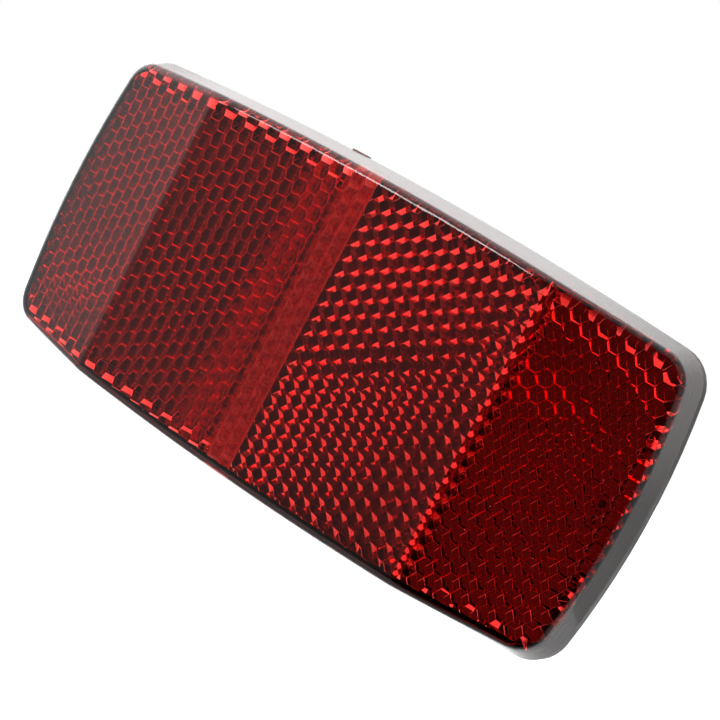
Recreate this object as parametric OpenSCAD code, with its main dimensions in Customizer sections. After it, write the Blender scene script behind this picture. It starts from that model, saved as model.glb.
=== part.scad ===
// Bicycle rack reflector: a clear red moulded lens with four fields of corner
// prisms behind a three-plane front, closed by a black back plate that carries
// two threaded studs.
//
// Frame: X runs along the length, Z up, the lens faces -Y.
// The origin is the middle of the flat rear face of the back plate.

/* [Lens outline] */
// Length of the lens at its front edge
lens_w = 100; // [80:1:130]
// Height of the lens at its front edge
lens_h = 45; // [36:1:60]
// Outward bow of the two long edges
side_bow = 1.9; // [0.5:0.1:4]
// Outward bow of the two short ends
end_bow = 2; // [0.5:0.1:4]
// Radius of the four corners, seen from the front
corner_r = 4.3; // [2:0.1:8]
// Rounding of the front edge
edge_r = 1.4; // [0.6:0.1:2]
// How far the side walls spread from front to rear
wall_spread = 1.1; // [0:0.1:2]
// Thickness of the side walls at the front
wall_t = 1.2; // [1:0.1:2.5]

/* [Front planes] */
// Depth from the mounting face to the middle of the front
depth = 10.8; // [10:0.1:14]
// Angle by which each outer plane falls back
wing_angle = 15; // [8:0.5:16]
// Solid thickness in front of the prisms
skin_t = 1.5; // [1.2:0.1:2]

/* [Corner prisms] */
// Size of one prism across the flats
cell = 2.23; // [2.1:0.01:2.6]
// Columns of prisms in each half of the middle plane
mid_columns = 15; // [12:1:16]
// Shift of the prism rows above the middle line
row_shift = 0.4; // [-1:0.1:1]
// How far past the inside of the walls the prism lattice runs
field_reach = 1.4; // [1.3:0.1:1.8]

/* [Back plate] */
// Thickness of the plate
plate_t = 1.6; // [1.2:0.1:2.2]
// How far the plate edge stands in from the lens edge
plate_inset = 0.1; // [0:0.05:0.5]
// Height of the locating rib above the plate
rib_h = 0.5; // [0.3:0.1:1]
// Thickness of the locating rib
rib_t = 1; // [0.6:0.1:2]
// Clearance between the rib and the inside of the lens
rib_gap = 0.1; // [0.05:0.05:0.3]
// Distance of the moulding mark from the middle of the top edge
gate_x = 10; // [0:1:30]
// Width of the moulding mark
gate_w = 2.4; // [1:0.1:4]
// How far the moulding mark stands out past the lens edge
gate_out = 0.1; // [0:0.05:0.4]

/* [Studs] */
// Distance between the two studs
stud_spacing = 80; // [50:1:84]
// Outer diameter of the thread
stud_d = 5; // [4:0.5:6]
// Length of stud behind the mounting face
stud_len = 14; // [8:0.5:20]
// Diameter of the neck between thread and head
neck_d = 4.2; // [3:0.1:5]
// Length of the neck outside the plate
neck_len = 0.4; // [0.2:0.1:1]
// Diameter of the relief round each stud in the mounting face
relief_d = 6; // [5.4:0.1:8]
// Depth of the relief
relief_h = 0.3; // [0.2:0.1:0.5]
// Head size across the flats
head_af = 8; // [7:0.5:9]
// Thickness of the head
head_t = 1.6; // [1:0.1:1.8]
// Plate left behind the head
head_floor = 1.2; // [0.8:0.1:1.4]
// Width of material around the head
boss_wall = 1.4; // [1:0.1:2]
// Cover over the head
boss_cap = 0.5; // [0.3:0.1:0.8]

/* [Hidden] */
// Overlap of pieces that are joined into one
eps = 0.01;

// Corner points where the bowed edges would meet
cw = lens_w / 2 - end_bow;
ch = lens_h / 2 - side_bow;
// Circles of the long and the short edges
long_r = (cw * cw + side_bow * side_bow) / (2 * side_bow);
short_r = (ch * ch + end_bow * end_bow) / (2 * end_bow);
long_c = ch + side_bow - long_r;
short_c = cw + end_bow - short_r;
// Corner circle that touches both edges from inside
cd = sqrt(long_c * long_c + short_c * short_c);
ca = long_r - corner_r;
cb = short_r - corner_r;
cu = (ca * ca - cb * cb + cd * cd) / (2 * cd);
cv = sqrt(ca * ca - cu * cu);
dx = short_c / cd;
dy = -long_c / cd;
corner_p = [dx * cu - dy * cv, long_c + dy * cu + dx * cv];
corner_q = [dx * cu + dy * cv, long_c + dy * cu - dx * cv];
corner_c = corner_p[0] > 0 && corner_p[1] > 0 ? corner_p : corner_q;
a_short = atan2(corner_c[1], corner_c[0] - short_c);
a_long = atan2(corner_c[1] - long_c, corner_c[0]);

// Columns, rows and levels of the prism lattice
pitch = cell * sqrt(3) / 2;
hx = pitch / 3;
step = cell / sqrt(6);
crease = mid_columns * pitch;
wing_columns = 12;
// The sides of a prism block run together at a far point
far = 1000;
// How far the room behind the prisms reaches past their grooves
lift = 0.15;
// Number of the outline point at the middle of the upper edge
upper_middle = 26;
// Outside and inside measures of the stud seats
head_top = head_floor + head_t;
boss_r = head_af / 2 / cos(30) + boss_wall;

// Front surface height at a given x
function front_z(x) = depth - max(abs(x) - crease, 0) * tan(wing_angle);

function arc(c, r, a0, a1, n) =
  [for (i = [0 : n - 1]) let (a = a0 + (a1 - a0) * i / n) c + r * [cos(a), sin(a)]];

// One quarter of the outline grown by g, from the end to the middle of the long edge
function quarter(g) =
  let (a_crease = acos(crease / (long_r + g)))
  concat(
    arc([short_c, 0], short_r + g, 0, a_short, 5),
    arc(corner_c, corner_r + g, a_short, a_long, 7),
    arc([0, long_c], long_r + g, a_long, a_crease, 6),
    arc([0, long_c], long_r + g, a_crease, 90, 8),
    [[0, long_c + long_r + g]]
  );

function flip(q, sx, sy) = [for (p = q) [p[0] * sx, p[1] * sy]];
function back(q) = [for (i = [len(q) - 1 : -1 : 0]) q[i]];
function rest(q) = [for (i = [1 : len(q) - 1]) q[i]];

// Whole outline grown by g, anticlockwise from the right end
function outline(g) =
  let (q = quarter(g), n = len(q))
  concat(q, rest(back(flip(q, -1, 1))), rest(flip(q, -1, -1)),
    [for (i = [n - 2 : -1 : 1]) [q[i][0], -q[i][1]]]);

// Whether a point lies within the walls, for a margin g from the front outline
function within(x, y, g) =
  let (ax = abs(x), ay = abs(y))
  norm([ax, ay - long_c]) <= long_r - g && norm([ax - short_c, ay]) <= short_r - g &&
  (ax < corner_c[0] || ay < corner_c[1] || norm([ax, ay] - corner_c) <= corner_r - g);

// Rings of the outer shell: the rounded front edge, then the rear edge
rings = concat(
  [for (i = [0 : 4]) [-edge_r * (1 - sin(i * 22.5)), edge_r * (1 - cos(i * 22.5))]],
  [[wall_spread, -1]]
);

module shell() {
  n = len(outline(0));
  m = len(rings);
  pts = [for (r = rings) for (p = outline(r[0]))
    [p[0], p[1], r[1] < 0 ? plate_t : front_z(p[0]) - r[1]]];
  side = [for (j = [0 : m - 2]) for (i = [0 : n - 1]) let (k = (i + 1) % n)
    each [[j * n + i, j * n + k, (j + 1) * n + k], [j * n + i, (j + 1) * n + k, (j + 1) * n + i]]];
  c1 = 18;
  c2 = (n / 2) - c1;
  c3 = (n / 2) + c1;
  c4 = n - c1;
  front = [
    [for (i = [c2 : -1 : c1]) i, each [for (i = [c4 : -1 : c3]) i]],
    [for (i = [c1 : -1 : 0]) i, each [for (i = [n - 1 : -1 : c4]) i]],
    [for (i = [c3 : -1 : c2]) i]
  ];
  rear = [for (i = [0 : n - 1]) (m - 1) * n + i];
  polyhedron(pts, concat(side, front, [rear]));
}

// Space behind the front skin, open to the rear
module hollow() {
  x2 = lens_w / 2 + 5;
  zc = skin_t - lift;
  kx = crease - zc * tan(wing_angle / 2);
  zt = function (x) depth - zc - max(x - kx, 0) * tan(wing_angle);
  intersection() {
    translate([0, 0, -1]) linear_extrude(depth + 1) polygon(outline(-wall_t));
    rotate([90, 0, 0]) linear_extrude(lens_h + 10, center = true)
      polygon([[-x2, -1], [x2, -1], [x2, zt(x2)], [kx, zt(kx)], [-kx, zt(kx)], [-x2, zt(x2)]]);
  }
}

// A field of six-sided corner prisms behind the plane z = 0, for columns
// c0 to c1. x_of gives the place of a lattice line along the lens, and turned
// fields have their prisms turned end for end. The sides are nearly upright.
module prisms(c0, c1, turned, x_of) {
  corners = [[2, 0], [1, 1], [-1, 1], [-2, 0], [-1, -1], [1, -1]];
  around = [[3, 1], [0, 2], [-3, 1], [-3, -1], [0, -2], [3, -1]];
  rows = ceil(lens_h / cell / 2);
  o = turned ? 1 : 0;
  at = function (v, z) [v[0] * hx, v[1] * cell / 2 + row_shift, z];
  has = function (q) let (p = at(q, 0))
    q[0] > 3 * c0 && q[0] < 3 * (c1 + 1) && within(x_of(p[0]), p[1], wall_t - field_reach);
  used = [for (c = [c0 : c1]) for (r = [-rows : rows])
    let (q = [3 * c + 1.5, 2 * r + (c % 2 == 0 ? 0 : 1)]) if (has(q)) q];
  n = len(used);
  rim = [for (j = [0 : n - 1]) for (k = [0 : 5]) if (!has(used[j] + around[k])) [j, k]];
  pts = concat(
    [for (q = used) each concat(
      [for (k = [0 : 5]) at(q + corners[k], -skin_t - (k % 2 == o ? step : 0))],
      [at(q, -skin_t - 2 * step)])],
    [at([1.5 * (c0 + c1), 0], far)]
  );
  faces = concat(
    [for (j = [0 : 7 : 7 * n - 1]) for (k = [0 : 2 : 4])
      [j + 6, j + (k + o) % 6, j + (k + o + 1) % 6, j + (k + o + 2) % 6]],
    [for (e = rim) [7 * n, 7 * e[0] + (e[1] + 1) % 6, 7 * e[0] + e[1]]]
  );
  polyhedron(pts, faces);
}

// Room behind the prisms of one half of the middle plane
module middle_room(s) {
  c0 = s > 0 ? -1 : -mid_columns - 1;
  difference() {
    intersection() {
      hollow();
      translate([s > 0 ? 0 : -crease, -lens_h, -1]) cube([crease, 2 * lens_h, depth + 1]);
    }
    translate([0, 0, depth]) prisms(c0, c0 + mid_columns + 1, s < 0, function (x) x);
  }
}

// Room behind the prisms of one outer plane
module wing_room(s) {
  c0 = s > 0 ? mid_columns - 1 : -mid_columns - wing_columns;
  difference() {
    intersection() {
      hollow();
      translate([s > 0 ? crease : -crease - lens_w, -lens_h, -1]) cube([lens_w, 2 * lens_h, depth + 1]);
    }
    translate([s * crease, 0, depth]) rotate([0, s * wing_angle, 0]) translate([-s * crease, 0, 0])
      prisms(c0, c0 + wing_columns, s < 0, function (x) s * crease + (x - s * crease) * cos(wing_angle));
  }
}

module lens() {
  color([0.62, 0.02, 0.03, 0.7]) to_row() difference() {
    shell();
    for (s = [-1, 1]) {
      middle_room(s);
      wing_room(s);
    }
  }
}

// Stud with its head inside the plate, grown by g for the pocket that holds it
module stud(g = 0) {
  r = stud_d / 2;
  tip = 0.6;
  translate([0, 0, -stud_len]) cylinder(h = tip, r1 = r - tip, r2 = r, $fn = 48);
  translate([0, 0, tip - stud_len]) cylinder(h = stud_len - tip - neck_len, r = r, $fn = 48);
  translate([0, 0, -neck_len - eps])
    cylinder(h = neck_len + head_floor + 2 * eps, r = neck_d / 2 + g, $fn = 48);
  translate([0, 0, head_floor]) cylinder(h = head_t + g, r = head_af / 2 / cos(30) + g, $fn = 6);
}

module at_studs() {
  for (s = [-1, 1]) translate([s * stud_spacing / 2, 0, 0]) children();
}

// Small mark left on the plate edge where it was moulded
module gate_mark() {
  y = outline(wall_spread)[upper_middle][1];
  translate([-gate_x - gate_w / 2, y - 1, 0]) cube([gate_w, 1 + gate_out, plate_t - 0.2]);
}

module back_plate() {
  inside = wall_t + rib_gap;
  color([0.03, 0.03, 0.03]) to_row() difference() {
    union() {
      linear_extrude(plate_t) polygon(outline(wall_spread - plate_inset));
      linear_extrude(plate_t + rib_h) difference() {
        polygon(outline(-inside));
        polygon(outline(-inside - rib_t));
      }
      at_studs() cylinder(h = head_top + boss_cap, r = boss_r, $fn = 64);
      gate_mark();
    }
    at_studs() {
      stud(0.05);
      translate([0, 0, -eps]) cylinder(h = relief_h + eps, r = relief_d / 2, $fn = 48);
    }
  }
}

module studs() {
  color([0.72, 0.73, 0.74]) to_row() at_studs() stud();
}

// Turns the drawing so that the front faces -Y and the height runs up Z
module to_row() {
  rotate([90, 0, 0]) children();
}

lens();
back_plate();
studs();
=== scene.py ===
"""Bicycle rack reflector, dressed: clear red lens with moulded edges, black back
plate, threaded studs and a pale photographic stage.

Everything is in the row frame in metres: X along the length, Z up, the lens
faces -Y and the studs point along +Y.
"""
import math

import bpy
import numpy as np
from mathutils import Euler, Matrix, Vector


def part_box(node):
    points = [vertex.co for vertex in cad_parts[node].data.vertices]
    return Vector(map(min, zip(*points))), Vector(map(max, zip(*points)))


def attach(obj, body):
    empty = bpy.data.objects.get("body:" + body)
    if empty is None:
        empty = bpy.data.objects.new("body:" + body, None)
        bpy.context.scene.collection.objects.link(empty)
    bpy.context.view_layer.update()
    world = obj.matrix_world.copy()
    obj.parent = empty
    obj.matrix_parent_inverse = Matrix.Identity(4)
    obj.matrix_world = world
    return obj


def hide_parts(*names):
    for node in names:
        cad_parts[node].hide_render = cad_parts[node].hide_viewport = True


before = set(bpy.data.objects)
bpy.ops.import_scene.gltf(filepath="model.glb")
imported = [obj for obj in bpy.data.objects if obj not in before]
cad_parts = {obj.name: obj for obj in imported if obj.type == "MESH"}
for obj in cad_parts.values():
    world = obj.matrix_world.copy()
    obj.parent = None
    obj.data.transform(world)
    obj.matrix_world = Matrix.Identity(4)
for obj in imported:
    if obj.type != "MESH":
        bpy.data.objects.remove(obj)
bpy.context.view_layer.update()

bl_info = {
    "name": "Bicycle rack reflector",
    "version": (1, 0, 0),
    "blender": (4, 5, 0),
    "location": "3D View > Sidebar > Rack Reflector",
    "description": "Moulded edges, threads and finishes for a bicycle rack reflector, with its stage",
    "category": "Add Mesh",
}

MM = 0.001

# Measures of the part that the finishes and rounded edges refer to, in millimetres
CREASE = 15 * 2.23 * math.sqrt(3) / 2
FRONT_DEPTH = 10.8
WING_ANGLE = 15
SKIN_TO_PRISMS = 1.2
PLATE_EDGE = 23.4
STUD_AT = (-40.0, 40.0)
STUD_RADIUS = 2.5
STUD_TIP = 0.6
HEAD_HEIGHT = 1.6
HEAD_ACROSS = 8.0

# The sheet of paper: its radius and how far behind the reflector its middle lies
FLOOR_RADIUS = 900
FLOOR_MIDDLE = 950

# The camera of the photo: focal length in millimetres, turn in degrees, place in metres
CAMERA_LENS = 94.098
CAMERA_TURN = (82.0742, -27.6854, 33.1115)
CAMERA_PLACE = (0.127997, -0.219105, 0.030125)

# Edges that fold by more than this many degrees are rounded
SHARP_FROM = 28.0
REFRACTIVE_INDEX = 1.57


# ---------------------------------------------------------------- shader maths

class Value:
    """One output of a node. Arithmetic on it adds Math nodes."""

    def __init__(self, graph, socket):
        self.graph = graph
        self.socket = socket

    def math(self, operation, *terms):
        return self.graph.add("ShaderNodeMath", {"operation": operation}, dict(enumerate(terms)))

    def __add__(self, other):
        return self.math("ADD", self, other)

    def __sub__(self, other):
        return self.math("SUBTRACT", self, other)

    def __rsub__(self, other):
        return self.math("SUBTRACT", other, self)

    def __mul__(self, other):
        return self.math("MULTIPLY", self, other)

    def __gt__(self, other):
        return self.math("GREATER_THAN", self, other)

    def __lt__(self, other):
        return self.math("LESS_THAN", self, other)


class Graph:
    """The node tree of one material or world, emptied and ready for nodes."""

    def __init__(self, owner):
        owner.use_nodes = True
        self.tree = owner.node_tree
        self.tree.nodes.clear()

    def add(self, kind, settings=None, inputs=None, output=0):
        node = self.tree.nodes.new(kind)
        for key, setting in (settings or {}).items():
            setattr(node, key, setting)
        for key, term in (inputs or {}).items():
            if isinstance(term, Value):
                self.tree.links.new(term.socket, node.inputs[key])
            else:
                node.inputs[key].default_value = term
        return Value(self, node.outputs[output]) if len(node.outputs) else node

    def place(self):
        """Object coordinates, in metres."""
        return self.add("ShaderNodeTexCoord", output=3)

    def axis(self, place, index):
        return self.add("ShaderNodeSeparateXYZ", {}, {0: place}, index)

    def noise(self, place, scale, detail=2.0, rough=0.5):
        """Soft cloudy value from 0 to 1, scale in waves per metre."""
        return self.add("ShaderNodeTexNoise", {},
                        {"Vector": place, "Scale": scale, "Detail": detail, "Roughness": rough})

    def cells(self, place, scale, output):
        """Distance to the middle of the nearest cell, or with output 1 a colour for each cell."""
        return self.add("ShaderNodeTexVoronoi", {"feature": "F1"}, {"Vector": place, "Scale": scale}, output)

    def ramp(self, value, low, high, start=0.0, end=1.0, kind="SMOOTHSTEP"):
        """Maps low..high to start..end, held level outside."""
        return self.add("ShaderNodeMapRange", {"interpolation_type": kind},
                        {"Value": value, "From Min": low, "From Max": high, "To Min": start, "To Max": end})

    def tint(self, factor, dark, light):
        """Colour between two tones."""
        return self.add("ShaderNodeMix", {"data_type": "RGBA"},
                        {0: factor, 6: (*dark, 1.0), 7: (*light, 1.0)}, 2)

    def mixed(self, factor, tone, light):
        """Goes over from a colour of the graph to a set tone."""
        return self.add("ShaderNodeMix", {"data_type": "RGBA"}, {0: factor, 6: tone, 7: (*light, 1.0)}, 2)

    def larger(self, one, other):
        return self.add("ShaderNodeMath", {"operation": "MAXIMUM"}, {0: one, 1: other})

    def bump(self, height, strength, distance):
        return self.add("ShaderNodeBump", {}, {"Strength": strength, "Distance": distance, "Height": height})


# ---------------------------------------------------------------- lens surface

def welded(mesh):
    """Corner points and triangles of a mesh, in millimetres, with points that share a place made one."""
    mesh.calc_loop_triangles()
    points = np.zeros(len(mesh.vertices) * 3)
    mesh.vertices.foreach_get("co", points)
    corners = np.zeros(len(mesh.loop_triangles) * 3, np.int64)
    mesh.loop_triangles.foreach_get("vertices", corners)
    points = points.reshape(-1, 3) / MM
    cells, first, place = np.unique(np.round(points / 2e-3).astype(np.int64), axis=0,
                                    return_index=True, return_inverse=True)
    triangles = place.reshape(-1)[corners].reshape(-1, 3)
    whole = ((triangles[:, 0] != triangles[:, 1]) & (triangles[:, 1] != triangles[:, 2])
             & (triangles[:, 2] != triangles[:, 0]))
    return points[first], triangles[whole]


def unit(vectors):
    return vectors / np.maximum(np.linalg.norm(vectors, axis=-1, keepdims=True), 1e-12)


def moulded_edges(points, triangles, groove, ridge, ridge_left, steps, bend, crease):
    """Rounds every sharp edge of a closed mesh.

    Each flat face is drawn in along its own plane, by groove at an edge that
    folds inwards and by ridge at one that stands out, or ridge_left where x is
    below zero. The strip left along an
    edge is a quadratic Bezier arc: (1-t)^2 p + 2t(1-t) e + t^2 q, from the
    drawn-in point p over the old edge point e to q on the next face. The
    direction that the strip faces turns evenly from the one face to the other.
    Where edges meet, the arcs are closed by a fan to their middle point.
    """
    count = len(triangles)
    start = triangles.reshape(-1)
    end = np.roll(triangles, -1, axis=1).reshape(-1)
    corner = np.arange(3 * count)
    following = corner - corner % 3 + (corner + 1) % 3
    cross = np.cross(points[triangles[:, 1]] - points[triangles[:, 0]],
                     points[triangles[:, 2]] - points[triangles[:, 0]])
    facing = unit(cross)

    # The half-edge on the other side of each one
    size = len(points)
    key = start * size + end
    order = np.argsort(key)
    spot = np.searchsorted(key[order], end * size + start)
    spot = np.minimum(spot, len(order) - 1)
    twin = order[spot]
    paired = key[twin] == end * size + start

    # A sliver takes the facing of the triangle across its longest edge
    length = np.linalg.norm(points[end] - points[start], axis=1)
    for _ in range(3):
        longest = np.argmax(length.reshape(-1, 3), axis=1) + 3 * np.arange(count)
        sliver = np.linalg.norm(cross, axis=1) < 0.01 * length[longest]
        sliver &= np.linalg.norm(cross, axis=1) < 2e-4
        facing[sliver] = facing[twin[longest[sliver]] // 3]

    face = corner // 3
    turn = np.einsum("ij,ij->i", facing[face], facing[twin // 3])
    sharp = (turn < math.cos(math.radians(bend))) | ~paired
    on_crease = (np.abs(np.abs(points[start][:, 0]) - crease) < 0.02) & \
                (np.abs(np.abs(points[end][:, 0]) - crease) < 0.02) & (turn < 0.98) & \
                (facing[face][:, 1] < -0.9)
    sharp |= on_crease

    # Corners round a point that no sharp edge parts belong together
    label = corner.copy()
    smooth = np.nonzero(~sharp)[0]
    pairs = np.concatenate([np.stack([smooth, following[twin[smooth]]], 1),
                            np.stack([following[smooth], twin[smooth]], 1)])
    for _ in range(400):
        low = np.minimum(label[pairs[:, 0]], label[pairs[:, 1]])
        before = label.copy()
        np.minimum.at(label, pairs[:, 0], low)
        np.minimum.at(label, pairs[:, 1], low)
        if np.array_equal(before, label):
            break
    _, first, group = np.unique(label, return_index=True, return_inverse=True)
    group = group.reshape(-1)
    groups = len(first)
    at = start[first]

    normal = np.zeros((groups, 3))
    weight = np.maximum(np.linalg.norm(cross, axis=1), 1e-6)[:, None]
    np.add.at(normal, group, np.repeat(facing * weight, 3, axis=0))
    normal = unit(normal)

    # Draw each group in from the two sharp edges that bound it
    inward = unit(np.cross(facing[face], points[end] - points[start]))
    beyond = points[start[following[following[twin]]]] - points[start]
    width = np.where(np.einsum("ij,ij->i", facing[face], beyond) > 0, groove,
                     np.where(points[start][:, 0] + points[end][:, 0] < 0, ridge_left, ridge))
    edges = np.nonzero(sharp)[0]
    leaving = np.zeros((groups, 3))
    arriving = np.zeros((groups, 3))
    width_leaving = np.zeros(groups)
    width_arriving = np.zeros(groups)
    reach = np.full(groups, np.inf)
    leaving[group[edges]] = inward[edges]
    arriving[group[following[edges]]] = inward[edges]
    width_leaving[group[edges]] = width[edges]
    width_arriving[group[following[edges]]] = width[edges]
    np.minimum.at(reach, group[edges], length[edges])
    np.minimum.at(reach, group[following[edges]], length[edges])
    alike = np.einsum("ij,ij->i", leaving, arriving)
    bounded = np.isfinite(reach) & (alike > -0.999)
    even = np.abs(alike) > 0.97
    base = np.maximum(1 - alike ** 2, 0.05)
    mean = (width_leaving + width_arriving) / 2 / np.maximum(1 + alike, 0.25)
    part_leaving = np.where(even, mean, (width_leaving - alike * width_arriving) / base)
    part_arriving = np.where(even, mean, (width_arriving - alike * width_leaving) / base)
    shift = leaving * part_leaving[:, None] + arriving * part_arriving[:, None]
    shift[~bounded] = 0
    far = np.linalg.norm(shift, axis=1)
    shift *= np.minimum(1, 0.42 * np.where(np.isfinite(reach), reach, 1) / np.maximum(far, 1e-9))[:, None]
    drawn = points[at] + shift

    # One arc for each pair of groups that meet at a point
    half = edges[edges < twin[edges]]
    other = twin[half]
    ends = np.concatenate([np.stack([group[half], group[following[other]]], 1),
                           np.stack([group[following[half]], group[other]], 1)])
    low, high = ends.min(axis=1), ends.max(axis=1)
    arcs, arc_of = np.unique(low * groups + high, return_inverse=True)
    arc_of = arc_of.reshape(-1)
    a, b = arcs // groups, arcs % groups
    t = (np.arange(1, steps) / steps)[None, :, None]
    arc_points = ((1 - t) ** 2 * drawn[a][:, None] + 2 * t * (1 - t) * points[at[a]][:, None]
                  + t ** 2 * drawn[b][:, None])
    arc_normals = unit((1 - t) * normal[a][:, None] + t * normal[b][:, None])
    inner = groups + np.arange(len(arcs))[:, None] * (steps - 1) + np.arange(steps - 1)[None]
    upward = np.concatenate([a[:, None], inner, b[:, None]], axis=1)
    rows = upward[arc_of]
    rows[ends[:, 0] > ends[:, 1]] = rows[ends[:, 0] > ends[:, 1]][:, ::-1]
    number = len(half)
    near, away = rows[:number], rows[number:]
    strips = np.stack([away[:, :-1], near[:, :-1], near[:, 1:], away[:, 1:]], axis=-1).reshape(-1, 4)

    # A fan closes each point where three or more sharp edges meet
    meeting = np.bincount(at[ends[:, 0]], minlength=size)
    hub = np.full(size, -1)
    hubs = np.nonzero(meeting > 2)[0]
    hub[hubs] = groups + len(arcs) * (steps - 1) + np.arange(len(hubs))
    middle = arc_points[:, (steps - 1) // 2][arc_of]
    centre = np.zeros((size, 3))
    np.add.at(centre, at[ends[:, 0]], middle)
    centre = centre[hubs] / meeting[hubs][:, None]
    heading = np.zeros((size, 3))
    np.add.at(heading, at[ends[:, 0]], normal[ends[:, 0]] + normal[ends[:, 1]])
    hub_of = np.repeat(hub[at[ends[:, 0]]][:, None], steps, 1)
    fan_near = np.stack([near[:, 1:], near[:, :-1], hub_of[:number]], -1)
    fan_away = np.stack([away[:, :-1], away[:, 1:], hub_of[number:]], -1)
    fans = np.concatenate([fan_near.reshape(-1, 3), fan_away.reshape(-1, 3)])
    fans = fans[fans[:, 2] >= 0]

    every = np.concatenate([drawn, arc_points.reshape(-1, 3), centre])
    facing_of = np.concatenate([normal, arc_normals.reshape(-1, 3), unit(heading[hubs])])
    return every, facing_of, group.reshape(-1, 3), strips, fans


def past_outline(points):
    """How far points lie outside the outline of the front edge, in millimetres.

    The outline is four arcs of circles, two long and two short, with a smaller
    circle at each corner: the distance is the largest of the distances to them.
    """
    wide, tall, side_bow, end_bow, corner = 50.0, 22.5, 1.9, 2.0, 4.3
    cw, ch = wide - end_bow, tall - side_bow
    long_r = (cw ** 2 + side_bow ** 2) / (2 * side_bow)
    short_r = (ch ** 2 + end_bow ** 2) / (2 * end_bow)
    long_c, short_c = tall - long_r, wide - short_r
    apart = math.hypot(long_c, short_c)
    near = ((long_r - corner) ** 2 - (short_r - corner) ** 2 + apart ** 2) / (2 * apart)
    off = math.sqrt((long_r - corner) ** 2 - near ** 2)
    dx, dy = short_c / apart, -long_c / apart
    centre = max(((dx * near - s * dy * off, long_c + dy * near + s * dx * off) for s in (1, -1)),
                 key=lambda c: min(c))
    x, z = np.abs(points[:, 0]), np.abs(points[:, 2])
    from_long = np.hypot(x, z - long_c) - long_r
    from_short = np.hypot(x - short_c, z) - short_r
    from_corner = np.where((x > centre[0]) & (z > centre[1]),
                           np.hypot(x - centre[0], z - centre[1]) - corner, -1e9)
    return np.maximum(np.maximum(from_long, from_short), from_corner)


def mesh_from(name, points, normals, triangles, quads):
    """A mesh whose shading follows the given normals. Points are in millimetres."""
    mesh = bpy.data.meshes.new(name)
    loops = np.concatenate([triangles.reshape(-1), quads.reshape(-1)])
    totals = np.concatenate([np.full(len(triangles), 3), np.full(len(quads), 4)])
    starts = np.concatenate([[0], np.cumsum(totals)[:-1]])
    mesh.vertices.add(len(points))
    mesh.vertices.foreach_set("co", (points * MM).astype(np.float32).reshape(-1))
    mesh.loops.add(len(loops))
    mesh.loops.foreach_set("vertex_index", loops.astype(np.int32))
    mesh.polygons.add(len(totals))
    mesh.polygons.foreach_set("loop_start", starts.astype(np.int32))
    mesh.polygons.foreach_set("loop_total", totals.astype(np.int32))
    mesh.polygons.foreach_set("use_smooth", np.ones(len(totals), bool))
    mesh.update(calc_edges=True)
    if normals is not None:
        mesh.normals_split_custom_set_from_vertices(normals.astype(np.float32))
    return mesh


def shown(name, mesh, material, node):
    """Puts a mesh into the scene in place of a node, with its finish."""
    piece = bpy.data.objects.new(name, mesh)
    bpy.context.scene.collection.objects.link(piece)
    mesh.materials.clear()
    mesh.materials.append(material)
    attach(piece, "root")
    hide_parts(node)
    return piece


# ---------------------------------------------------------------- finishes

def clear_red(settings):
    """Clear red plastic: coloured right through, polished in front.

    The prisms between band_from and band_to are matt, with a ragged left side. The
    attribute wall is above zero on the outside of the side walls, which are milky and grow
    milkier towards the upper edge as a painted reflection that brightens the upper wall,
    and clouded is the share of light that the prisms of a field scatter.
    """
    material = bpy.data.materials.new("clear_red")
    g = Graph(material)
    place = g.place()
    x = g.axis(place, 0)
    y = g.axis(place, 1)
    in_prisms = g.ramp(y, -9.4 * MM, -9.2 * MM) * (y < -7.3 * MM)
    wall = g.add("ShaderNodeAttribute", {"attribute_name": "wall"}, output=2)
    cloud = g.noise(place, 90.0, 3.0)
    ragged = x + (g.noise(place, 500.0, 2.0) - 0.5) * 1.2 * MM
    band = g.ramp(ragged, settings.band_from - 0.8 * MM, settings.band_from + 0.2 * MM, kind="LINEAR") \
        * (x < settings.band_to) * in_prisms * (wall < 0.05)
    streaks = g.noise(g.add("ShaderNodeMapping", {}, {0: place, 3: (1.0, 1.0, 0.3)}), 1500.0, 2.0)
    rough = band * settings.band_roughness + cloud * 0.02 + wall * 0.12
    body = g.add("ShaderNodeBsdfPrincipled", {}, {
        "Base Color": g.tint(cloud, (0.97, 0.97, 0.97), (1.0, 1.0, 1.0)),
        "Roughness": rough,
        "IOR": REFRACTIVE_INDEX,
        "Transmission Weight": 1.0,
    })
    colour = g.add("ShaderNodeVolumeAbsorption", {}, {
        "Color": (*settings.absorb_tint, 1.0), "Density": settings.absorb_per_metre})
    lighter = g.larger(cloud, band * g.ramp(streaks, 0.35, 0.6))
    haze_and_painted_light = g.add("ShaderNodeBsdfDiffuse", {}, {
        "Color": g.tint(lighter, (0.75, 0.7, 0.68), (0.98, 0.94, 0.93)), "Roughness": 0.5})
    to_speck = g.cells(place, 700.0, 0)
    chosen = g.axis(g.cells(place, 700.0, 1), 0)
    dust = (to_speck < 0.05) * (chosen > 0.75) * 0.5
    matt = band * g.ramp(streaks, 0.35, 0.6, 0.7, 1.0)
    clouded = g.add("ShaderNodeAttribute", {"attribute_name": "clouded"}, output=2)
    # The wall share mixes in diffuse light on the outer walls, more towards the upper edge: partly the
    # plastic's milkiness, partly a painted reflection of the bright room on the upper wall
    mixed = g.add("ShaderNodeMixShader", {}, {
        0: g.larger(g.larger(wall * settings.wall_haze_and_painted_light, dust), g.larger(matt, clouded)), 1: body, 2: haze_and_painted_light})
    g.add("ShaderNodeOutputMaterial", {}, {"Surface": mixed, "Volume": colour})
    return material


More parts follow.
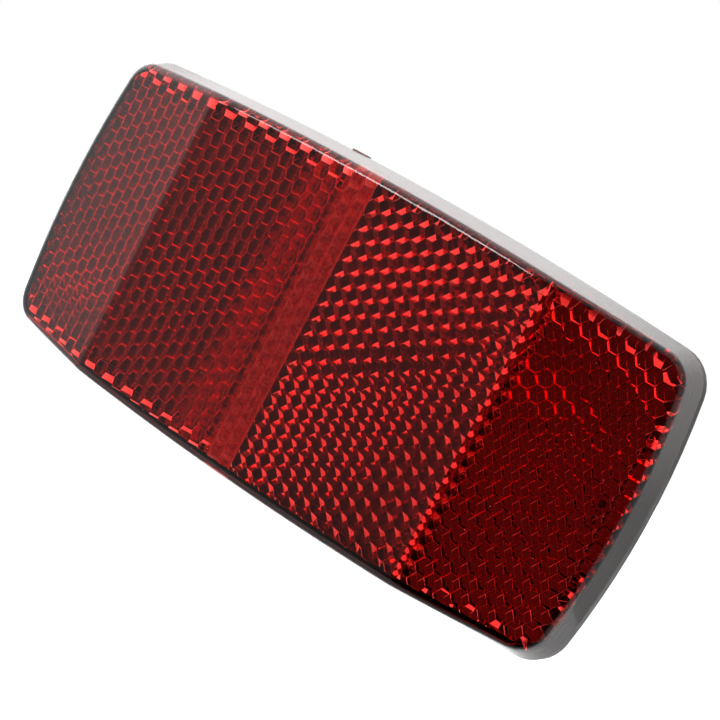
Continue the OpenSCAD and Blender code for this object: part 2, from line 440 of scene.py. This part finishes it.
def black_moulding():
    """Black plastic with a fine moulded grain; the moulding mark on the upper edge is reddish."""
    material = bpy.data.materials.new("black_moulding")
    g = Graph(material)
    place = g.place()
    cloud = g.noise(place, 140.0, 3.0)
    grain = g.noise(place, 2600.0, 2.0)
    x = g.axis(place, 0)
    flash = g.ramp(g.axis(place, 2), PLATE_EDGE * MM, (PLATE_EDGE + 0.1) * MM) \
        * (x > -14 * MM) * (x < -6 * MM)
    tone = g.tint(cloud, (0.012, 0.012, 0.013), (0.03, 0.029, 0.03))
    body = g.add("ShaderNodeBsdfPrincipled", {}, {
        "Base Color": g.mixed(flash, tone, (0.42, 0.24, 0.22)),
        "Roughness": g.ramp(cloud, 0.3, 0.7, 0.42, 0.55),
        "Normal": g.bump(grain, 0.25, 0.00004),
    })
    g.add("ShaderNodeOutputMaterial", {}, {"Surface": body})
    return material


def zinc_plate():
    """Zinc-plated steel, slightly cloudy."""
    material = bpy.data.materials.new("zinc_plate")
    g = Graph(material)
    place = g.place()
    cloud = g.noise(place, 500.0, 4.0)
    body = g.add("ShaderNodeBsdfPrincipled", {}, {
        "Base Color": g.tint(cloud, (0.36, 0.37, 0.39), (0.54, 0.55, 0.56)),
        "Metallic": 1.0,
        "Roughness": g.ramp(cloud, 0.25, 0.75, 0.24, 0.42),
    })
    g.add("ShaderNodeOutputMaterial", {}, {"Surface": body})
    return material


def white_paper(glow):
    """Pale paper of the studio floor."""
    material = bpy.data.materials.new("white_paper")
    g = Graph(material)
    cloud = g.noise(g.place(), 30.0, 3.0)
    body = g.add("ShaderNodeBsdfPrincipled", {}, {
        "Base Color": g.tint(cloud, (0.86, 0.86, 0.86), (0.9, 0.9, 0.9)),
        "Roughness": 0.9,
        "Emission Color": (1.0, 1.0, 1.0, 1.0),
        "Emission Strength": glow,
    })
    g.add("ShaderNodeOutputMaterial", {}, {"Surface": body})
    return material


# ---------------------------------------------------------------- settings

def length(name, text, default, **limits):
    return bpy.props.FloatProperty(name=name, description=text, default=default, subtype="DISTANCE",
                                   unit="LENGTH", precision=5, **limits)


def angle(name, text, degrees):
    return bpy.props.FloatProperty(name=name, description=text, default=math.radians(degrees),
                                   subtype="ANGLE", unit="ROTATION")


def share(name, text, default):
    return bpy.props.FloatProperty(name=name, description=text, default=default, min=0, max=1,
                                   subtype="FACTOR")


def level(name, text, default):
    return bpy.props.FloatProperty(name=name, description=text, default=default, min=0)


def direction(name, text, default):
    return bpy.props.FloatVectorProperty(name=name, description=text, default=default, size=3,
                                         subtype="DIRECTION")


class LensSettings(bpy.types.PropertyGroup):
    groove_width: length(
        "Groove rounding",
        "How far the grooves between prisms are rounded back along the faces",
        0.08 * MM, min=0.005 * MM, max=0.2 * MM)
    ridge_width: length(
        "Ridge rounding",
        "How far edges that stand out are rounded back along the faces",
        0.03 * MM, min=0.005 * MM, max=0.2 * MM)
    ridge_left: length(
        "Ridge rounding, left half",
        "The same for the prisms of the left half, which are turned",
        0.07 * MM, min=0.005 * MM, max=0.2 * MM)
    # Milky light on the outer walls: partly the plastic's milkiness, partly a painted reflection of the bright
    # room on the upper wall
    wall_haze_and_painted_light: share(
        "Wall haze",
        "Share of milky light from the outside of the side walls",
        0.27)
    clouded_fields: bpy.props.FloatVectorProperty(
        name="Clouding",
        description="Share of scattered light from the prisms of the left wing, left half and right half",
        default=(0.07, 0.045, 0.05), size=3, min=0, max=1)
    arc_steps: bpy.props.IntProperty(
        name="Steps round an edge",
        description="Strips that make up each rounded edge",
        default=3, min=2, max=4)
    absorb_tint: bpy.props.FloatVectorProperty(
        name="Clear tint",
        description="Colour that light keeps as it passes through the plastic",
        default=(0.99, 0.105, 0.065), size=3, min=0, max=1, subtype="COLOR")
    absorb_per_metre: level(
        "Depth of tint",
        "How fast the plastic takes up the other colours, per metre",
        700.0)
    band_from: length(
        "Matt band from",
        "Left side of the matt band at the middle",
        -4.3 * MM)
    band_to: length(
        "Matt band to",
        "Right side of the matt band at the middle",
        0.0)
    band_roughness: share(
        "Matt band roughness",
        "How rough the prisms of the matt band are",
        0.45)


class StudSettings(bpy.types.PropertyGroup):
    thread_pitch: length(
        "Thread pitch",
        "Distance from one thread to the next",
        0.8 * MM)
    thread_depth: length(
        "Thread depth",
        "Depth of the thread below its outer diameter",
        0.45 * MM)
    neck_radius: length(
        "Neck radius",
        "Radius of the plain neck inside the plate",
        2.1 * MM)
    neck_end: length(
        "Neck end",
        "Distance from the mounting face at which the thread begins",
        0.4 * MM)


class StageSettings(bpy.types.PropertyGroup):
    floor_drop: length(
        "Floor drop",
        "Height of the floor below the middle of the reflector",
        0.2)
    paper_glow: level(
        "Paper brightness",
        "Light that the paper gives back on its own",
        0.6)
    shade_towards: direction(
        "Shade towards",
        "Direction of the dark side of the room, where the camera stands",
        (0.3, -0.95, -0.05))
    shade_inside: angle(
        "Full shade within",
        "Angle from the middle of the shade that is fully dark",
        44)
    shade_outside: angle(
        "Shade ends at",
        "Angle from the middle of the shade where the light is full",
        70)
    shade_level: level(
        "Light in the shade",
        "Brightness of the dark side",
        0.035)
    table_towards: direction(
        "Table shade towards",
        "Direction of the dark edge of the table in front",
        (0.5, -0.6, -0.62))
    table_inside: angle(
        "Full table shade within",
        "Angle from the middle of the table shade that is fully dark",
        28)
    table_outside: angle(
        "Table shade ends at",
        "Angle from the middle of the table shade where the light is full",
        50)
    room_light: level(
        "Room light",
        "Brightness of the light parts of the room",
        2.2)
    mirrored_share: share(
        "Mirrored share",
        "Share of the room light that smooth faces mirror from outside",
        0.22)
    mirrored_behind: share(
        "Mirrored share behind",
        "The same towards the bright window behind the upper wall",
        0.6)
    window_towards: direction(
        "Window towards",
        "Direction of the bright window behind the reflector",
        (-0.61, 0.61, 0.51))
    veil_towards: direction(
        "Veil towards",
        "Direction of the grey side of the room that the front mirrors",
        (-0.933, -0.34, -0.12))
    veil_level: level(
        "Veil brightness",
        "Brightness of the grey side of the room in the mirrored light",
        0.18)
    lamp_towards: direction(
        "Lamp towards",
        "Direction of the small lamp that draws a line along the upper edge",
        (-0.5, -0.73, 0.46))
    lamp_inside: angle(
        "Lamp full within",
        "Angle from the middle of the lamp that is fully bright",
        4)
    lamp_outside: angle(
        "Lamp ends at",
        "Angle from the middle of the lamp where its light ends",
        10)
    lamp_level: level(
        "Lamp brightness",
        "Brightness of the lamp in the mirrored light",
        9.0)


# ---------------------------------------------------------------- operators

class REFLECTOR_OT_lens(bpy.types.Operator):
    """Rounds the moulded edges of the lens and its prisms and gives it clear red plastic"""
    bl_idname = "reflector.lens"
    bl_label = "Lens"

    def execute(self, context):
        settings = context.scene.reflector_lens
        points, triangles = welded(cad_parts["lens"].data)
        every, facing, flats, strips, fans = moulded_edges(
            points, triangles, settings.groove_width / MM, settings.ridge_width / MM,
            settings.ridge_left / MM, settings.arc_steps, SHARP_FROM, CREASE)
        mesh = mesh_from("lens_moulded", every, facing, np.concatenate([flats, fans]), strips)
        for label, value in self.shares(every, settings.clouded_fields):
            mesh.attributes.new(label, "FLOAT", "POINT").data.foreach_set("value", value.astype(np.float32))
        shown("lens_moulded", mesh, clear_red(settings), "lens")
        return {"FINISHED"}

    def shares(self, points, fields):
        """Milkiness of the outside of the walls and of the prisms, at each point.

        The walls are milkier towards the upper edge, which is a painted reflection that brightens the upper
        wall. The prisms of a field are clouded evenly, but not within 3.4 mm of the outline.
        """
        x, y, z = points.T
        past = past_outline(points)
        # The rise towards the upper edge is a painted reflection that brightens the upper wall
        wall = np.clip(1 + past / 0.05, 0, 1) * (0.4 + 0.6 * np.clip(z / 14 - 0.2, 0, 1))
        field = np.select([x < -CREASE, x < 0, x < CREASE], list(fields), 0)
        front = -FRONT_DEPTH + np.maximum(np.abs(x) - CREASE, 0) * math.tan(math.radians(WING_ANGLE))
        clouded = field * (y > front + SKIN_TO_PRISMS) * np.clip((-past - 3.4) / 0.6, 0, 1)
        return (("wall", wall), ("clouded", clouded))


class REFLECTOR_OT_back_plate(bpy.types.Operator):
    """Gives the back plate its black moulded finish"""
    bl_idname = "reflector.back_plate"
    bl_label = "Back plate"

    def execute(self, context):
        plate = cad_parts["back_plate"]
        plate.data.materials.clear()
        plate.data.materials.append(black_moulding())
        return {"FINISHED"}


def threaded_stud(x, low, high, radius, pitch, depth, around=40, per_turn=10):
    """Points and quads of a threaded rod along Y from low to high.

    A point at angle a and height y stands at radius - depth * v, where v is the
    share of the way into the groove: the distance of y / pitch - a / turn from
    the nearest whole number, doubled and flattened at crest and root. The last
    part at the tip tapers to the root; with no depth it is a plain rod.
    """
    rows = int(round((high - low) / pitch * per_turn)) + 1
    y = np.linspace(low, high, rows)[:, None]
    a = (np.arange(around) / around)[None, :]
    phase = y / pitch - a
    v = np.clip(2 * np.abs(phase - np.round(phase)) * 1.25 - 0.125, 0, 1)
    taper = np.clip((high - y) / STUD_TIP, 0, 1)
    r = np.full(v.shape, radius)
    if depth:
        r = np.minimum(radius - depth * v, radius - STUD_TIP * (1 - taper))
    turned = 2 * math.pi * a
    grid = np.stack([x + r * np.cos(turned), np.broadcast_to(y, r.shape), r * np.sin(turned)], -1)
    grid = grid.reshape(-1, 3)
    i = np.arange(rows - 1)[:, None] * around
    j = np.arange(around)[None]
    k = (j + 1) % around
    quads = np.stack([i + j, i + around + j, i + around + k, i + k], -1).reshape(-1, 4)
    tips = np.array([[x, low, 0], [x, high, 0]])
    n = len(grid)
    near = np.stack([np.full(around, n), j[0], k[0]], -1)
    last = (rows - 1) * around
    away = np.stack([np.full(around, n + 1), last + k[0], last + j[0]], -1)
    return np.concatenate([grid, tips]), quads, np.concatenate([near, away])


def six_sided_head(x, low, high, across):
    """Points, quads and triangles of a hexagonal head between two heights along Y."""
    angle = np.arange(6) * math.pi / 3
    r = across / 2 / math.cos(math.pi / 6)
    ring = np.stack([x + r * np.cos(angle), np.zeros(6), r * np.sin(angle)], -1)
    points = np.concatenate([ring + [0, low, 0], ring + [0, high, 0], [[x, low, 0], [x, high, 0]]])
    j = np.arange(6)
    k = (j + 1) % 6
    quads = np.stack([j, j + 6, k + 6, k], -1)
    caps = np.concatenate([np.stack([np.full(6, 12), j, k], -1), np.stack([np.full(6, 13), k + 6, j + 6], -1)])
    return points, quads, caps


class REFLECTOR_OT_studs(bpy.types.Operator):
    """Cuts the threads of the two studs and gives them a zinc finish"""
    bl_idname = "reflector.studs"
    bl_label = "Studs"

    def execute(self, context):
        settings = context.scene.reflector_studs
        low, high = (np.array(v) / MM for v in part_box("studs"))
        pitch, depth = settings.thread_pitch / MM, settings.thread_depth / MM
        neck = settings.neck_radius / MM
        head_end = low[1] + HEAD_HEIGHT
        thread_start = settings.neck_end / MM
        points, quads, triangles = [], [], []
        count = 0
        for x in STUD_AT:
            for p, q, t in (threaded_stud(x, thread_start, high[1], STUD_RADIUS, pitch, depth),
                            threaded_stud(x, head_end - 0.2, thread_start + 0.1, neck, pitch, 0.0),
                            six_sided_head(x, low[1], head_end, HEAD_ACROSS)):
                points.append(p)
                quads.append(q + count)
                triangles.append(t + count)
                count += len(p)
        mesh = mesh_from("studs_threaded", np.concatenate(points), None,
                         np.concatenate(triangles), np.concatenate(quads))
        mesh.set_sharp_from_angle(angle=math.radians(35))
        shown("studs_threaded", mesh, zinc_plate(), "studs")
        return {"FINISHED"}


class REFLECTOR_OT_stage(bpy.types.Operator):
    """Sets up the pale floor, the light of the room and the camera"""
    bl_idname = "reflector.stage"
    bl_label = "Stage"

    def execute(self, context):
        scene = context.scene
        settings = scene.reflector_stage
        self.floor(scene, settings)
        self.room(scene, settings)
        self.camera(scene)
        return {"FINISHED"}

    def floor(self, scene, settings):
        """A round sheet of paper behind the reflector: a ring of points on a level plane and its middle."""
        around = 96
        angle = np.arange(around) * 2 * math.pi / around
        ring = np.stack([FLOOR_RADIUS * np.cos(angle), FLOOR_MIDDLE + FLOOR_RADIUS * np.sin(angle),
                         np.full(around, -settings.floor_drop / MM)], -1)
        points = np.concatenate([ring, [[0, FLOOR_MIDDLE, -settings.floor_drop / MM]]])
        j = np.arange(around)
        mesh = mesh_from("paper_floor", points, None,
                         np.stack([np.full(around, around), j, (j + 1) % around], -1),
                         np.zeros((0, 4), int))
        floor = bpy.data.objects.new("paper_floor", mesh)
        scene.collection.objects.link(floor)
        mesh.materials.append(white_paper(settings.paper_glow))

    def room(self, scene, settings):
        """White light from all round but for two soft dark cones on the camera's side.

        Faces that mirror the room from outside see less of it, and also a grey side and
        a small lamp. The camera sees plain white behind the reflector.
        """
        world = bpy.data.worlds.new("white_room")
        scene.world = world
        g = Graph(world)
        look = g.add("ShaderNodeTexCoord", output=0)

        def cone(towards, inside, edge, around, within):
            along = g.add("ShaderNodeVectorMath", {"operation": "DOT_PRODUCT"},
                          {0: look, 1: Vector(towards).normalized()}, 1)
            return g.ramp(along, math.cos(edge), math.cos(inside), around, within)

        light = cone(settings.shade_towards, settings.shade_inside, settings.shade_outside,
                     1.0, settings.shade_level) \
            * cone(settings.table_towards, settings.table_inside, settings.table_outside,
                   1.0, settings.shade_level) * settings.room_light
        lamp = cone(settings.lamp_towards, settings.lamp_inside, settings.lamp_outside,
                    0.0, settings.lamp_level)
        mirrored = g.add("ShaderNodeLightPath", output=5)
        taken = cone(settings.window_towards, math.radians(37), math.radians(80),
                     1.0 - settings.mirrored_share, 1.0 - settings.mirrored_behind)
        veil = cone(settings.veil_towards, math.radians(30), math.radians(62), 0.0, settings.veil_level)
        light = light * (1.0 - mirrored * taken) + (lamp + veil) * mirrored
        seen = g.add("ShaderNodeLightPath", output=0)
        strength = light + seen * (1.0 - light)
        back = g.add("ShaderNodeBackground", {}, {"Color": (1.0, 1.0, 1.0, 1.0), "Strength": strength})
        g.add("ShaderNodeOutputWorld", {}, {"Surface": back})
        scene.view_settings.view_transform = "Standard"

    def camera(self, scene):
        lens = bpy.data.cameras.new("camera")
        lens.sensor_width = 36.0
        lens.lens = CAMERA_LENS
        lens.clip_start = 0.005
        camera = bpy.data.objects.new("camera", lens)
        turn = Euler([math.radians(v) for v in CAMERA_TURN])
        camera.matrix_world = Matrix.Translation(CAMERA_PLACE) @ turn.to_matrix().to_4x4()
        scene.collection.objects.link(camera)
        scene.camera = camera


class REFLECTOR_PT_panel(bpy.types.Panel):
    """Lists the pieces of the reflector and what can be changed on them"""
    bl_idname = "REFLECTOR_PT_panel"
    bl_label = "Rack Reflector"
    bl_space_type = "VIEW_3D"
    bl_region_type = "UI"
    bl_category = "Rack Reflector"

    def draw(self, context):
        for group, operators in (("reflector_lens", ("reflector.lens", "reflector.back_plate")),
                                 ("reflector_studs", ("reflector.studs",)),
                                 ("reflector_stage", ("reflector.stage",))):
            box = self.layout.box()
            settings = getattr(context.scene, group)
            for name in settings.bl_rna.properties.keys():
                if name not in {"rna_type", "name"}:
                    box.prop(settings, name)
            for operator in operators:
                box.operator(operator)


CLASSES = (LensSettings, StudSettings, StageSettings, REFLECTOR_OT_lens, REFLECTOR_OT_back_plate,
           REFLECTOR_OT_studs, REFLECTOR_OT_stage, REFLECTOR_PT_panel)


def register():
    for cls in CLASSES:
        bpy.utils.register_class(cls)
    bpy.types.Scene.reflector_lens = bpy.props.PointerProperty(type=LensSettings)
    bpy.types.Scene.reflector_studs = bpy.props.PointerProperty(type=StudSettings)
    bpy.types.Scene.reflector_stage = bpy.props.PointerProperty(type=StageSettings)


def unregister():
    del bpy.types.Scene.reflector_stage
    del bpy.types.Scene.reflector_studs
    del bpy.types.Scene.reflector_lens
    for cls in reversed(CLASSES):
        bpy.utils.unregister_class(cls)


def main():
    register()
    bpy.ops.reflector.lens()
    bpy.ops.reflector.back_plate()
    bpy.ops.reflector.studs()
    bpy.ops.reflector.stage()


if __name__ == "__main__":
    main()
